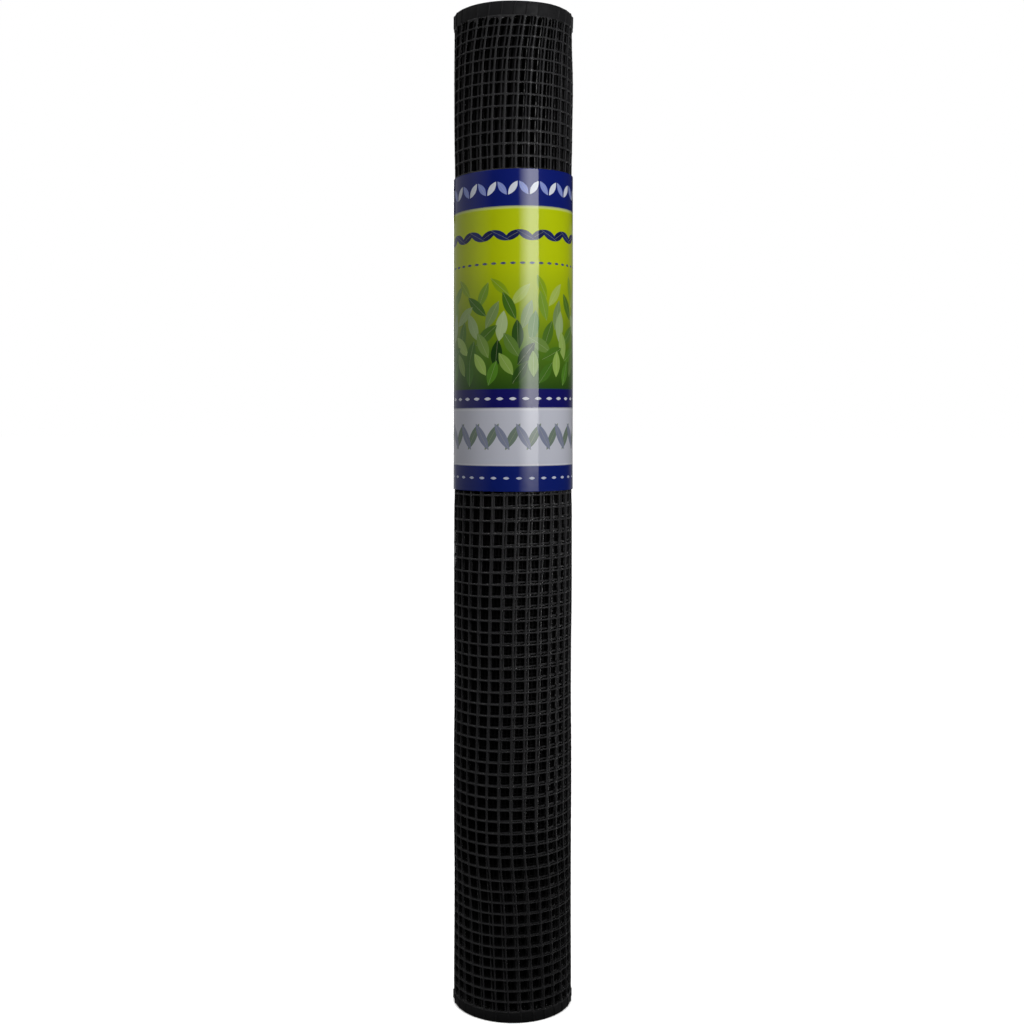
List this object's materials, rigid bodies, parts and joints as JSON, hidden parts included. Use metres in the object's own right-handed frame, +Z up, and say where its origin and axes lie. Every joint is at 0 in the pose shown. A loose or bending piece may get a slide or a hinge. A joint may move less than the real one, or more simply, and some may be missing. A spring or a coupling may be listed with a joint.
{
  "type": "roll of plastic mesh",
  "caption": "Upright roll of black square-hole plastic garden mesh with solid edge strips and an open bore, wound in a spiral and held closed by a plain colour-printed wrap band.",
  "frame": {"origin": "middle of the roll's foot, on the surface it stands on", "axes": "+Z up along the roll's axis, -Y towards the front of the band, +X to the right"},
  "size_m": [0.1121, 0.1119, 0.914],
  "materials": {
    "black_net": "extruded black polyethylene net, satin strands with small shiny crossings",
    "printed_band": "glossy printed film band in blue, lime green and pale grey zones, no lettering"
  },
  "bodies": {
    "root": {"net_roll": "black_net", "label_band": "printed_band"}
  },
  "joints": []
}
